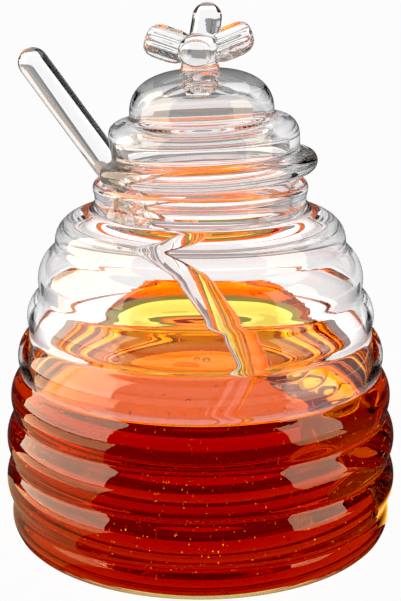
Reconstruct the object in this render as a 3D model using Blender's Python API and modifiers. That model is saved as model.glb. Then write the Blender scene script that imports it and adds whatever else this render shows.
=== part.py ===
"""Honey jar with dipper: a ribbed clear glass jar shaped like a beehive, honey to about half its height,
a stepped glass lid with a bee as its knob, and a glass dipper that leans out through the lid's notch.

Metres, +Z up. The origin is the centre of the jar's base. The dipper leans towards -X, and the bee
faces -Y. Sizes below are in millimetres and angles in degrees, and MM turns them to metres.
"""

import math

import bmesh
import bpy
from mathutils import Matrix, Vector

MM = 0.001
GAP = 0.3
MERGE = 0.00005
CLEARANCE = 2.0

# Jar: the creases between its ribs, from the top down, as (height, outer radius)
CREASES = ((75.2, 36.9), (63.7, 41.0), (53.6, 43.5), (43.2, 46.2), (31.9, 48.0), (20.3, 49.0), (8.4, 48.8))
RIB_BULGE = 2.1
BASE_RADIUS = 48.7
BASE_RIB_BULGE = 1.2
SHOULDER_RADIUS = 36.9
SHOULDER_RISE = 7.1
SHOULDER_CENTRE = 77.2
NECK_RADIUS = 26.7
NECK_BOTTOM = 86.6
LIP_BOTTOM = 88.5
LIP_RADIUS = 27.3
LIP_TOP = 91.6
LIP_ROUND = 0.6
LIP_CREST = 90.0
NECK_BORE = 25.5
CREASE_WALL = 1.3
CREST_WALL = 1.9
INNER_RIB_BULGE = 1.2
SHOULDER_WALL = 1.6
FLOOR = 4.0
FLOOR_ROUND = 6.0
FLOOR_RISE = 4.2

# Honey
HONEY_LEVEL = 41.6

# Lid: heights above the underside of its flange, in its own tilted frame
LID_SHIFT = 1.0
LID_TILT = 2.5
FLANGE_RADIUS = 28.5
FLANGE_TOP = 5.2
FLANGE_FILLET = 0.5
RING_RADIUS = 24.2
RING_WALL_TOP = 9.6
RING_TOP = 14.4
RING_ROUND = 4.8
DOME_RADIUS = 18.1
DOME_BOTTOM = 14.8
DOME_TOP = 26.2
DOME_POWER = 2.6
PLUG_RADIUS = 23.7
PLUG_DEPTH = 11.4
PLUG_ROUND = 0.8
LID_BORE = 21.7
LID_CEILING = 11.6
LID_CEILING_ROUND = 2.0
DOME_BORE = 16.2
DOME_BORE_TOP = 22.6
DOME_BORE_START = 14.0
DOME_BORE_FLARE = 0.8

# Notch in the lid, which flares outwards at 45 degrees
NOTCH_HEIGHT = 1.5
NOTCH_THROAT = 6.8
NOTCH_THROAT_AT = 19.0
NOTCH_INNER_AT = 16.0
NOTCH_OUTER_AT = 32.0
NOTCH_SLOT_HALF = 5.6
NOTCH_SLOT_FROM = -27.0
NOTCH_SLOT_TO = -14.0

# Knob: a bee, placed in the lid's frame
FOOT_RADIUS = 7.0
FOOT_SINK = 2.4
FOOT_WAIST = 4.6
FOOT_WAIST_RISE = 1.2
FOOT_HEAD_RADIUS = 3.6
BODY_AT = (0.0, -0.6, 30.6)
BODY_HALF = (5.3, 5.8, 4.2)
BEE_TURN = 8.0
HEAD_AT = (0.0, -6.0, 30.4)
HEAD_HALF = (4.0, 2.6, 3.4)
ABDOMEN_RADIUS = 3.7
ABDOMEN_FROM = (0.8, 1.6, 32.0)
ABDOMEN_TO = (1.5, 6.0, 38.2)
WING_HALF = (5.6, 4.6, 2.7)
WING_ROUND = 2.4
WING_OUT = 7.9
WING_HEIGHT = 32.4
WING_TILT = 20.0
WING_PITCH = 38.0

# Dipper: distances along its axis from its round top end
DIPPER_TOP = (-41.2, 0.0, 120.7)
DIPPER_LEAN = 35.55
ROD_RADIUS = 3.8
ROD_END = 94.5
HEAD_START = 98.5
HEAD_RING_RADII = (6.6, 8.2, 9.1, 9.2, 8.6, 7.0)
HEAD_GROOVE_RADII = (4.2, 5.4, 6.1, 6.5, 6.5, 5.8, 3.6)
HEAD_PITCH = 6.8
HEAD_TIP = 1.5

# Numbers of flats round each turned piece
JAR_STEPS = 36
LID_STEPS = 36
DIPPER_STEPS = 20


def clear_scene():
    """Remove what the scene holds."""
    for scene_object in list(bpy.data.objects):
        bpy.data.objects.remove(scene_object, do_unlink=True)


def collection(name):
    """A new collection in the scene."""
    made = bpy.data.collections.new(name)
    bpy.context.scene.collection.children.link(made)
    return made


def material(name, colour, roughness, transmission, ior):
    """A Principled BSDF of one colour."""
    made = bpy.data.materials.new(name)
    made.use_nodes = True
    shader = made.node_tree.nodes["Principled BSDF"]
    shader.inputs["Base Color"].default_value = (*colour, 1.0)
    shader.inputs["Metallic"].default_value = 0.0
    shader.inputs["Roughness"].default_value = roughness
    shader.inputs["Transmission Weight"].default_value = transmission
    shader.inputs["IOR"].default_value = ior
    return made


def arc(start, end, bulge, segments):
    """Points after start up to end on a circular arc. It bulges to the left of the way from start to end."""
    (r0, z0), (r1, z1) = start, end
    chord = math.hypot(r1 - r0, z1 - z0)
    radius = (chord * chord / 4 + bulge * bulge) / (2 * bulge)
    across = Vector((-(z1 - z0), r1 - r0)) / chord
    centre = Vector(((r0 + r1) / 2, (z0 + z1) / 2)) - across * (radius - bulge)
    first = Vector((r0, z0)) - centre
    turn = -2 * math.asin(chord / (2 * radius))
    points = []
    for step in range(1, segments + 1):
        spun = Matrix.Rotation(turn * step / segments, 2) @ first
        points.append((centre.x + spun.x, centre.y + spun.y))
    return points


def ellipse(centre, half_width, half_height, start, end, segments, power=2.0):
    """Points of a superellipse about centre, from angle start to angle end, both in degrees."""
    points = []
    for step in range(segments + 1):
        angle = math.radians(start + (end - start) * step / segments)
        c, s = math.cos(angle), math.sin(angle)
        points.append(
            (
                centre[0] + half_width * math.copysign(abs(c) ** (2 / power), c),
                centre[1] + half_height * math.copysign(abs(s) ** (2 / power), s),
            )
        )
    return points


def jar_outside():
    """The jar's outer outline, from the crown of its lip down to the edge of its base."""
    points = [((NECK_BORE + LIP_RADIUS) / 2, LIP_TOP)]
    points += [(LIP_RADIUS - LIP_ROUND / 2, LIP_TOP - LIP_ROUND), (LIP_RADIUS, LIP_CREST)]
    points += [(LIP_RADIUS - LIP_ROUND / 2, LIP_BOTTOM + LIP_ROUND / 2)]
    points += [(NECK_RADIUS, LIP_BOTTOM), (NECK_RADIUS, NECK_BOTTOM)]
    shoulder_width = SHOULDER_RADIUS - NECK_RADIUS
    points += ellipse((NECK_RADIUS, SHOULDER_CENTRE), shoulder_width, SHOULDER_RISE, 75, 0, 6)
    points.append((CREASES[0][1], CREASES[0][0]))
    for (z0, r0), (z1, r1) in zip(CREASES, CREASES[1:]):
        points += arc((r0, z0), (r1, z1), RIB_BULGE, 4)
    last = CREASES[-1]
    points += arc((last[1], last[0]), (BASE_RADIUS, 0.0), BASE_RIB_BULGE, 4)
    return points


def inner_creases():
    """The creases of the jar's inner wall, from the top down, as (radius, height)."""
    return [(radius - CREASE_WALL, height) for height, radius in CREASES]


def jar_inside():
    """The jar's inner outline, from the edge of its floor up to the crown of its lip."""
    creases = inner_creases()
    down = [(NECK_BORE, LIP_TOP - LIP_ROUND), (NECK_BORE, NECK_BOTTOM)]
    width = SHOULDER_RADIUS - CREST_WALL - NECK_BORE
    down += ellipse((NECK_BORE, SHOULDER_CENTRE), width, SHOULDER_RISE - SHOULDER_WALL, 65, 0, 4)
    down.append(creases[0])
    for start, end in zip(creases, creases[1:]):
        down += arc(start, end, INNER_RIB_BULGE, 3)
    wall = creases[-1][0]
    corner = ellipse((wall - FLOOR_ROUND, FLOOR + FLOOR_RISE), FLOOR_ROUND, FLOOR_RISE, 0, -90, 3)
    down += corner[1:]
    return down[::-1]


def inset(outline, gap):
    """The outline moved by gap to the right of its way, which for one that runs down is towards the axis."""
    normals = []
    for (r0, z0), (r1, z1) in zip(outline, outline[1:]):
        normals.append(Vector((z1 - z0, r0 - r1)).normalized())
    moved = []
    for index, point in enumerate(outline):
        before = normals[max(index - 1, 0)]
        after = normals[min(index, len(normals) - 1)]
        along = (before + after).normalized()
        moved.append(tuple(Vector(point) + along * gap / max(along.dot(after), 0.5)))
    return moved


def honey_outline():
    """The honey's outline, from the middle of its surface down its side to the middle of its underside."""
    wall = inset(jar_inside()[::-1] + [(0.0, FLOOR)], GAP)
    above = [point for point in wall if point[1] > HONEY_LEVEL]
    below = wall[len(above):]
    (r0, z0), (r1, z1) = above[-1], below[0]
    edge = r0 + (r1 - r0) * (HONEY_LEVEL - z0) / (z1 - z0)
    return [(0.0, HONEY_LEVEL), (edge, HONEY_LEVEL)] + below


def lid_outline():
    """The lid's outline without its knob, from the top of its dome down outside and up again inside."""
    points = ellipse((0.0, DOME_BOTTOM), DOME_RADIUS, DOME_TOP - DOME_BOTTOM, 90, 0, 9, DOME_POWER)
    points[0] = (0.0, DOME_TOP)
    ring_centre = (RING_RADIUS - RING_ROUND, RING_WALL_TOP)
    points += ellipse(ring_centre, RING_ROUND, RING_TOP - RING_WALL_TOP, 90, 0, 4)
    points.append((RING_RADIUS, FLANGE_TOP + FLANGE_FILLET))
    flange_half = FLANGE_TOP / 2
    points += ellipse((FLANGE_RADIUS - flange_half, flange_half), flange_half, flange_half, 90, -90, 6)
    points += [(PLUG_RADIUS, 0.0), (PLUG_RADIUS, PLUG_ROUND - PLUG_DEPTH)]
    points.append((PLUG_RADIUS - PLUG_ROUND, -PLUG_DEPTH))
    points += [(LID_BORE, PLUG_ROUND - PLUG_DEPTH), (LID_BORE, LID_CEILING - LID_CEILING_ROUND)]
    points.append((LID_BORE - LID_CEILING_ROUND, LID_CEILING))
    points.append((DOME_BORE + DOME_BORE_FLARE, LID_CEILING + DOME_BORE_FLARE))
    inside = ellipse((0.0, DOME_BORE_START), DOME_BORE, DOME_BORE_TOP - DOME_BORE_START, 0, 90, 6, DOME_POWER)
    inside[-1] = (0.0, DOME_BORE_TOP)
    return points + inside


def dipper_outline(grow=0.0):
    """The dipper's outline down its axis from its top end, each radius grown by grow."""
    points = [(0.0, ROD_RADIUS + grow)]
    points += ellipse((0.0, 0.0), ROD_RADIUS + grow, ROD_RADIUS + grow, 67.5, 0, 3)
    points.append((ROD_RADIUS + grow, -ROD_END))
    for index, crest in enumerate(HEAD_RING_RADII):
        start = (HEAD_GROOVE_RADII[index] + grow, -(HEAD_START + index * HEAD_PITCH))
        end = (HEAD_GROOVE_RADII[index + 1] + grow, start[1] - HEAD_PITCH)
        if index == 0:
            points.append(start)
        middle = (start[0] + end[0]) / 2
        points += arc(start, end, crest + grow - middle, 4)
    points.append((0.0, points[-1][1] - HEAD_TIP - grow))
    return points


def turned(name, outline, steps, finish, group):
    """An object turned about its Z axis from an outline of (radius, height) in millimetres."""
    mesh = bpy.data.meshes.new(name)
    vertices = [(radius * MM, 0.0, height * MM) for radius, height in outline]
    mesh.from_pydata(vertices, [(i, i + 1) for i in range(len(vertices) - 1)], [])
    made = bpy.data.objects.new(name, mesh)
    group.objects.link(made)
    screw = made.modifiers.new("Turn", "SCREW")
    screw.axis = "Z"
    screw.angle = math.tau
    screw.steps = steps
    screw.render_steps = steps
    screw.use_merge_vertices = True
    screw.merge_threshold = MERGE
    screw.use_smooth_shade = True
    if finish:
        mesh.materials.append(finish)
    return made


def as_helper(scene_object, parent=None):
    """Mark an object as a cutter or an addend, which isn't a piece of its own."""
    scene_object.hide_render = True
    scene_object.display_type = "WIRE"
    if parent:
        scene_object.parent = parent
    return scene_object


def bmesh_object(name, builder, group, matrix=None):
    """An object whose mesh is filled by builder and then moved by matrix."""
    mesh = bpy.data.meshes.new(name)
    work = bmesh.new()
    builder(work)
    if matrix:
        bmesh.ops.transform(work, matrix=matrix, verts=work.verts)
    bmesh.ops.recalc_face_normals(work, faces=work.faces)
    work.to_mesh(mesh)
    work.free()
    made = bpy.data.objects.new(name, mesh)
    group.objects.link(made)
    return made


def boolean(target, operation, operand):
    """Join a collection to target, or cut an object out of it."""
    modifier = target.modifiers.new(operation.title(), "BOOLEAN")
    modifier.operation = operation
    modifier.solver = "EXACT"
    if isinstance(operand, bpy.types.Collection):
        modifier.operand_type = "COLLECTION"
        modifier.collection = operand
    else:
        modifier.object = operand
    return modifier


def box_matrix(low, high):
    """The matrix that turns a unit cube about the origin into the box from low to high, in millimetres."""
    centre = [(a + b) / 2 * MM for a, b in zip(low, high)]
    sides = [(b - a) * MM for a, b in zip(low, high)]
    return Matrix.Translation(centre) @ Matrix.Diagonal((*sides, 1.0))


def ellipsoid(name, centre, half, group, spin=None, segments=14, rings=9):
    """A UV sphere stretched to the half sizes, spun and moved to centre, in millimetres."""
    matrix = Matrix.Translation(Vector(centre) * MM)
    if spin:
        matrix = matrix @ spin
    matrix = matrix @ Matrix.Diagonal((*(side * MM for side in half), 1.0))
    return bmesh_object(
        name,
        lambda work: bmesh.ops.create_uvsphere(work, u_segments=segments, v_segments=rings, radius=1.0),
        group,
        matrix,
    )


def wing(side, group):
    """A wing: a thick rounded slab that rises outwards, with its back edge higher than its front edge."""
    name = "wing_left" if side < 0 else "wing_right"
    spin = Matrix.Rotation(math.radians(-side * WING_TILT), 4, "Y")
    spin = spin @ Matrix.Rotation(math.radians(WING_PITCH), 4, "X")
    made = bmesh_object(
        name,
        lambda work: bmesh.ops.create_cube(work, size=2.0),
        group,
        Matrix.Translation(Vector((side * WING_OUT, 0.4, WING_HEIGHT)) * MM)
        @ spin
        @ Matrix.Diagonal((*(half * MM for half in WING_HALF), 1.0)),
    )
    rounding = made.modifiers.new("Rounding", "BEVEL")
    rounding.width = WING_ROUND * MM
    rounding.segments = 3
    rounding.limit_method = "NONE"
    return made


def abdomen(group):
    """The bee's abdomen: a capsule that rises behind its body."""
    start, end = Vector(ABDOMEN_FROM), Vector(ABDOMEN_TO)
    way = end - start
    outline = [(0.0, way.length + ABDOMEN_RADIUS)]
    outline += ellipse((0.0, way.length), ABDOMEN_RADIUS, ABDOMEN_RADIUS, 67.5, 0, 3)
    outline += ellipse((0.0, 0.0), ABDOMEN_RADIUS, ABDOMEN_RADIUS, 0, -67.5, 3)
    outline.append((0.0, -ABDOMEN_RADIUS))
    made = turned("abdomen", outline, 14, None, group)
    made.matrix_basis = Matrix.Translation(start * MM) @ way.to_track_quat("Z", "Y").to_matrix().to_4x4()
    return made


def foot(group):
    """The knob's foot, which flares into the dome."""
    waist = DOME_TOP + FOOT_WAIST_RISE
    outline = [(0.0, BODY_AT[2]), (FOOT_HEAD_RADIUS, BODY_AT[2] - FOOT_WAIST_RISE)]
    outline.append((FOOT_WAIST, waist + FOOT_WAIST_RISE))
    flare = ellipse((FOOT_RADIUS, waist), FOOT_RADIUS - FOOT_WAIST, 2 * FOOT_WAIST_RISE, 180, 260, 3)
    outline += flare
    outline += [(flare[-1][0], DOME_TOP - FOOT_SINK), (0.0, DOME_TOP - FOOT_SINK)]
    return turned("foot", outline, 18, None, group)


def bee(group, parent):
    """All pieces of the knob, which are joined to the lid."""
    ellipsoid("body", BODY_AT, BODY_HALF, group)
    ellipsoid("bee_head", HEAD_AT, HEAD_HALF, group)
    abdomen(group)
    wing(-1, group)
    wing(1, group)
    foot(group)
    turn = Matrix.Rotation(math.radians(-BEE_TURN), 4, "Z")
    for piece in group.objects:
        as_helper(piece, parent)
        piece.matrix_basis = turn @ piece.matrix_basis


def notch_radius(out):
    """The notch's radius at this distance out from the lid's axis."""
    return NOTCH_THROAT + out - NOTCH_THROAT_AT


def notch(group, parent):
    """The notch's two cutters: a cone that flares outwards, and a slot down through the lid's plug."""
    inner, outer = notch_radius(NOTCH_INNER_AT), notch_radius(NOTCH_OUTER_AT)
    length = NOTCH_OUTER_AT - NOTCH_INNER_AT
    middle = (NOTCH_OUTER_AT + NOTCH_INNER_AT) / 2
    cone = bmesh_object(
        "notch_flare",
        lambda work: bmesh.ops.create_cone(
            work, cap_ends=True, segments=28, radius1=inner * MM, radius2=outer * MM, depth=length * MM
        ),
        group,
        Matrix.Translation(Vector((-middle, 0.0, NOTCH_HEIGHT)) * MM) @ Matrix.Rotation(-math.pi / 2, 4, "Y"),
    )
    slot = bmesh_object(
        "notch_slot",
        lambda work: bmesh.ops.create_cube(work, size=1.0),
        group,
        box_matrix(
            (NOTCH_SLOT_FROM, -NOTCH_SLOT_HALF, -PLUG_DEPTH - CLEARANCE),
            (NOTCH_SLOT_TO, NOTCH_SLOT_HALF, NOTCH_HEIGHT),
        ),
    )
    return [as_helper(cone, parent), as_helper(slot, parent)]


def make_jar(group, finish):
    """The jar."""
    outline = [(0.0, FLOOR)] + jar_inside() + jar_outside() + [(0.0, 0.0)]
    return turned("jar", outline, JAR_STEPS, finish, group)


def make_lid(group, helpers, addends, finish):
    """The lid with its knob, tilted as it rests on the jar's lip beside the dipper."""
    lid = turned("lid", lid_outline(), LID_STEPS, finish, group)
    tilt = math.radians(LID_TILT)
    rest = LIP_TOP + GAP + (LIP_RADIUS + LID_SHIFT) * math.sin(tilt)
    bee(addends, lid)
    boolean(lid, "UNION", addends)
    for cutter in notch(helpers, lid):
        boolean(lid, "DIFFERENCE", cutter)
    lid.location = (LID_SHIFT * MM, 0.0, rest * MM)
    lid.rotation_euler = (0.0, -tilt, 0.0)
    return lid


def place_dipper(scene_object):
    """Lean a turned object along the dipper's axis."""
    scene_object.location = [part * MM for part in DIPPER_TOP]
    scene_object.rotation_euler = (0.0, -math.radians(DIPPER_LEAN), 0.0)
    return scene_object


def make_dipper(group, finish):
    """The dipper."""
    return place_dipper(turned("dipper", dipper_outline(), DIPPER_STEPS, finish, group))


def make_honey(group, helpers, finish):
    """The honey, up to its level, cut round the dipper."""
    honey = turned("honey", honey_outline(), JAR_STEPS, finish, group)
    cutter = turned("dipper_room", dipper_outline(GAP), DIPPER_STEPS, None, helpers)
    boolean(honey, "DIFFERENCE", as_helper(place_dipper(cutter)))
    return honey


def main():
    """Build the four pieces."""
    clear_scene()
    parts = collection("honey_jar_with_dipper")
    helpers = collection("cutters")
    addends = collection("bee")
    glass = material("clear_glass", (0.93, 0.95, 0.95), 0.02, 1.0, 1.5)
    lid_glass = material("lid_glass", (0.94, 0.95, 0.95), 0.02, 1.0, 1.5)
    dipper_glass = material("dipper_glass", (0.92, 0.94, 0.94), 0.02, 1.0, 1.5)
    amber = material("honey_amber", (0.80, 0.22, 0.02), 0.05, 0.8, 1.49)
    make_jar(parts, glass)
    make_honey(parts, helpers, amber)
    make_dipper(parts, dipper_glass)
    make_lid(parts, helpers, addends, lid_glass)


main()
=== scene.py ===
"""Looks of the honey jar with dipper: clear blown glass, amber honey, a pressed glass lid with a bee and a
solid glass dipper, on a pale floor in soft studio light.

Metres, +Z up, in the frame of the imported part. Sizes in the classes are millimetres and degrees, and MM
turns them to metres.
"""

import logging
import math
from collections.abc import Callable
from dataclasses import dataclass, field
from enum import Enum
from typing import ClassVar

import bmesh
import bpy
from mathutils import Matrix, Vector


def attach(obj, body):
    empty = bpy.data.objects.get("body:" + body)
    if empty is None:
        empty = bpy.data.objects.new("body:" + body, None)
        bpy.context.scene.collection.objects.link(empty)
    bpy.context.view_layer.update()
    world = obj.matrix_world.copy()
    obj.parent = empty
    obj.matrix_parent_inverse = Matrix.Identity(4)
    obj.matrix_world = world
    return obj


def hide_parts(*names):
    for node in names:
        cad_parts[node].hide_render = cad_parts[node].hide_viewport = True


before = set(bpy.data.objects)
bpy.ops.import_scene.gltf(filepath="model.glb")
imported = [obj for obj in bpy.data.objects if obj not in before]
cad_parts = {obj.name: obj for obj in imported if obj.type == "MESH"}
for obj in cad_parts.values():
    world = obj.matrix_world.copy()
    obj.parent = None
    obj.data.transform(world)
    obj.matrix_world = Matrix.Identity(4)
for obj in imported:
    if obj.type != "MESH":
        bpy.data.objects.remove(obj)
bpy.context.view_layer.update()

MM = 0.001
BODY = "root"
SRGB_KNEE = 0.04045
SRGB_SLOPE = 12.92
SRGB_OFFSET = 0.055
SRGB_POWER = 2.4
MITRE_LIMIT = 0.5
ALL_ROUND = (-180.0, 180.0)
Point = tuple[float, float]
log = logging.getLogger("honey_jar")


class Slot(Enum):
    """The record's material slots."""

    JAR = "jar_glass"
    HONEY = "honey"
    LID = "lid_glass"
    DIPPER = "dipper_glass"


def linear(colour: str) -> tuple[float, float, float, float]:
    """Turn an sRGB hex colour to linear RGBA.

    Args:
        colour: Six hex digits after a hash sign.

    Returns:
        Linear red, green and blue, and an alpha of 1.
    """
    channels = []
    for start in (1, 3, 5):
        share = int(colour[start : start + 2], 16) / 255
        if share <= SRGB_KNEE:
            channels.append(share / SRGB_SLOPE)
        else:
            channels.append(((share + SRGB_OFFSET) / (1 + SRGB_OFFSET)) ** SRGB_POWER)
    return (*channels, 1.0)


def add_node(
    tree: bpy.types.NodeTree, kind: str, settings: dict | None = None, inputs: dict | None = None
) -> bpy.types.Node:
    """Add a node with its settings, its values and its links.

    Args:
        tree: The node tree that gets the node.
        kind: The node's type name.
        settings: Properties of the node by name.
        inputs: Values or output sockets by the input's name or number.

    Returns:
        The new node.
    """
    node = tree.nodes.new(kind)
    for name, value in (settings or {}).items():
        setattr(node, name, value)
    for name, value in (inputs or {}).items():
        if isinstance(value, bpy.types.NodeSocket):
            tree.links.new(value, node.inputs[name])
        else:
            node.inputs[name].default_value = value
    return node


def empty_material(name: str) -> bpy.types.Material:
    """Make a material with an empty node tree.

    Args:
        name: The real material's name.

    Returns:
        The material.
    """
    made = bpy.data.materials.new(name)
    made.use_nodes = True
    made.node_tree.nodes.clear()
    return made


def wavy_normal(tree: bpy.types.NodeTree, wave_mm: float, height_mm: float) -> bpy.types.NodeSocket:
    """Make the normal of a skin with slow waves in it.

    Args:
        tree: The material's node tree.
        wave_mm: How long the waves are.
        height_mm: How high they are.

    Returns:
        The socket that gives the normal.
    """
    place = add_node(tree, "ShaderNodeTexCoord")
    waves = add_node(
        tree,
        "ShaderNodeTexNoise",
        inputs={"Vector": place.outputs["Object"], "Scale": 1 / (wave_mm * MM), "Detail": 1.0},
    )
    bump = add_node(
        tree,
        "ShaderNodeBump",
        inputs={"Strength": 1.0, "Distance": height_mm * MM, "Height": waves.outputs["Fac"]},
    )
    return bump.outputs["Normal"]


@dataclass(frozen=True)
class ClearGlass:
    """Clear soda-lime or borosilicate glass, blown, pressed or drawn, and fire polished.

    The eye sees it by what it bends and mirrors. Its skin is a little uneven: slow waves from blowing or
    pressing pull the lines behind it out of true. Where honey wets it, hardly any skin shows, and its ior
    is the glass's over the honey's.
    """

    name: str
    colour: str = "#FFFFFF"
    ior: float = 1.5
    wave_mm: float = 14.0
    wave_height_mm: float = 0.0

    def build(self) -> bpy.types.Material:
        """The material."""
        made = empty_material(self.name)
        tree = made.node_tree
        shader = add_node(
            tree,
            "ShaderNodeBsdfPrincipled",
            inputs={
                "Base Color": linear(self.colour),
                "Roughness": 0.0,
                "IOR": self.ior,
                "Transmission Weight": 1.0,
                "Normal": wavy_normal(tree, self.wave_mm, self.wave_height_mm),
            },
        )
        add_node(tree, "ShaderNodeOutputMaterial", inputs={"Surface": shader.outputs["BSDF"]})
        return made


@dataclass(frozen=True)
class ClearHoney:
    """Clear liquid honey. It takes out blue within a few millimetres and green within a few centimetres, so
    thin layers look yellow, thicker ones orange and the whole jar's depth deep red.

    Light bends where it comes in from the air and hardly where it comes in from glass, which the faces'
    attribute BEND tells. One material has to do for both: light leaves honey where it came in by it.
    """

    BEND: ClassVar[str] = "bend"
    name: str
    mirrors: float = 0.35
    kept: tuple[float, float, float] = (0.978, 0.853, 0.0)
    density: float = 320.0
    wave_mm: float = 30.0
    wave_height_mm: float = 0.02

    def build(self) -> bpy.types.Material:
        """The material."""
        made = empty_material(self.name)
        tree = made.node_tree
        bend = add_node(tree, "ShaderNodeAttribute", {"attribute_name": self.BEND})
        shader = add_node(
            tree,
            "ShaderNodeBsdfPrincipled",
            inputs={
                "Base Color": (1.0, 1.0, 1.0, 1.0),
                "Roughness": 0.0,
                "IOR": bend.outputs["Fac"],
                "Specular Tint": (self.mirrors, self.mirrors, self.mirrors, 1.0),
                "Transmission Weight": 1.0,
                "Normal": wavy_normal(tree, self.wave_mm, self.wave_height_mm),
            },
        )
        depth = add_node(
            tree,
            "ShaderNodeVolumeAbsorption",
            inputs={"Color": (*self.kept, 1.0), "Density": self.density},
        )
        add_node(
            tree,
            "ShaderNodeOutputMaterial",
            inputs={"Surface": shader.outputs["BSDF"], "Volume": depth.outputs["Volume"]},
        )
        return made


@dataclass(frozen=True)
class FineBubble:
    """A bubble of air in honey, which bends light the other way from a drop and mirrors it at its rim."""

    name: str
    ior: float = 0.671

    def build(self) -> bpy.types.Material:
        """The material."""
        made = empty_material(self.name)
        tree = made.node_tree
        shader = add_node(
            tree,
            "ShaderNodeBsdfGlass",
            inputs={"Color": (1.0, 1.0, 1.0, 1.0), "Roughness": 0.0, "IOR": self.ior},
        )
        add_node(tree, "ShaderNodeOutputMaterial", inputs={"Surface": shader.outputs["BSDF"]})
        return made


@dataclass(frozen=True)
class PaleFloor:
    """A white matt table that a lamp under it lights a little, as for glassware."""

    name: str
    colour: str
    glow: float

    def build(self) -> bpy.types.Material:
        """The material."""
        made = empty_material(self.name)
        tree = made.node_tree
        shader = add_node(
            tree,
            "ShaderNodeBsdfPrincipled",
            inputs={
                "Base Color": linear(self.colour),
                "Roughness": 0.6,
                "Specular IOR Level": 0.0,
                "Emission Color": (1.0, 1.0, 1.0, 1.0),
                "Emission Strength": self.glow,
            },
        )
        add_node(tree, "ShaderNodeOutputMaterial", inputs={"Surface": shader.outputs["BSDF"]})
        return made


@dataclass(frozen=True)
class CardFinish:
    """A light box's white cloth or a black card, which shines by its points' attribute GLOW."""

    GLOW: ClassVar[str] = "glow"
    name: str
    colour: str

    def build(self) -> bpy.types.Material:
        """The material."""
        made = empty_material(self.name)
        tree = made.node_tree
        glow = add_node(tree, "ShaderNodeAttribute", {"attribute_name": self.GLOW})
        shader = add_node(
            tree,
            "ShaderNodeEmission",
            inputs={"Color": linear(self.colour), "Strength": glow.outputs["Fac"]},
        )
        add_node(tree, "ShaderNodeOutputMaterial", inputs={"Surface": shader.outputs["Emission"]})
        return made


def arc(start: Point, end: Point, bulge: float, segments: int) -> list[Point]:
    """Points after start up to end on a circular arc.

    Args:
        start: Where it starts.
        end: Where it ends.
        bulge: How far it stands out to the left of the way from start to end.
        segments: How many steps it takes.

    Returns:
        The points, without start.
    """
    (r0, z0), (r1, z1) = start, end
    chord = math.hypot(r1 - r0, z1 - z0)
    radius = (chord * chord / 4 + bulge * bulge) / (2 * bulge)
    across = Vector((-(z1 - z0), r1 - r0)) / chord
    centre = Vector(((r0 + r1) / 2, (z0 + z1) / 2)) - across * (radius - bulge)
    first = Vector((r0, z0)) - centre
    turn = -2 * math.asin(chord / (2 * radius))
    points = []
    for step in range(1, segments + 1):
        spun = Matrix.Rotation(turn * step / segments, 2) @ first
        points.append((centre.x + spun.x, centre.y + spun.y))
    return points


def ellipse(
    centre: Point, half: Point, start: float, end: float, segments: int, power: float = 2.0
) -> list[Point]:
    """Points of a superellipse.

    Args:
        centre: Its centre.
        half: Its half width and half height.
        start: Its first angle in degrees.
        end: Its last angle in degrees.
        segments: How many steps it takes.
        power: 2 for an ellipse, more for a squarer form.

    Returns:
        The points, both ends included.
    """
    points = []
    for step in range(segments + 1):
        angle = math.radians(start + (end - start) * step / segments)
        c, s = math.cos(angle), math.sin(angle)
        points.append(
            (
                centre[0] + half[0] * math.copysign(abs(c) ** (2 / power), c),
                centre[1] + half[1] * math.copysign(abs(s) ** (2 / power), s),
            )
        )
    return points


def evenly(outline: list[Point], pitch: float) -> list[Point]:
    """Put points along an outline's straight lines.

    Args:
        outline: Its points.
        pitch: About how far apart the new points are.

    Returns:
        The old points and the new ones between them.
    """
    points = [outline[0]]
    for (r0, z0), (r1, z1) in zip(outline, outline[1:]):
        count = max(1, round(math.hypot(r1 - r0, z1 - z0) / pitch))
        points += [(r0 + (r1 - r0) * k / count, z0 + (z1 - z0) * k / count) for k in range(1, count + 1)]
    return points


def softened(outline: list[Point], pitch: float, passes: int) -> list[Point]:
    """The outline with its corners rounded as a fire polish rounds them.

    Args:
        outline: Points of (radius, height).
        pitch: The distance between the new points.
        passes: How often each point moves halfway to the middle of its neighbours.

    Returns:
        The rounded outline, whose ends stay where they are.
    """
    points = evenly(outline, pitch)
    for _ in range(passes):
        middle = [
            ((a[0] + 2 * b[0] + c[0]) / 4, (a[1] + 2 * b[1] + c[1]) / 4)
            for a, b, c in zip(points, points[1:], points[2:])
        ]
        points = [points[0], *middle, points[-1]]
    return points


def inset(outline: list[Point], gap: float) -> list[Point]:
    """Move an outline sideways.

    Args:
        outline: Its points.
        gap: How far it moves to the right of its way, which for one that runs down is towards the axis.

    Returns:
        As many points, moved. At a sharp corner the move is held back by MITRE_LIMIT.
    """
    normals = []
    for (r0, z0), (r1, z1) in zip(outline, outline[1:]):
        normals.append(Vector((z1 - z0, r0 - r1)).normalized())
    moved = []
    for index, point in enumerate(outline):
        before = normals[max(index - 1, 0)]
        after = normals[min(index, len(normals) - 1)]
        along = (before + after).normalized()
        moved.append(tuple(Vector(point) + along * gap / max(along.dot(after), MITRE_LIMIT)))
    return moved


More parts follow.
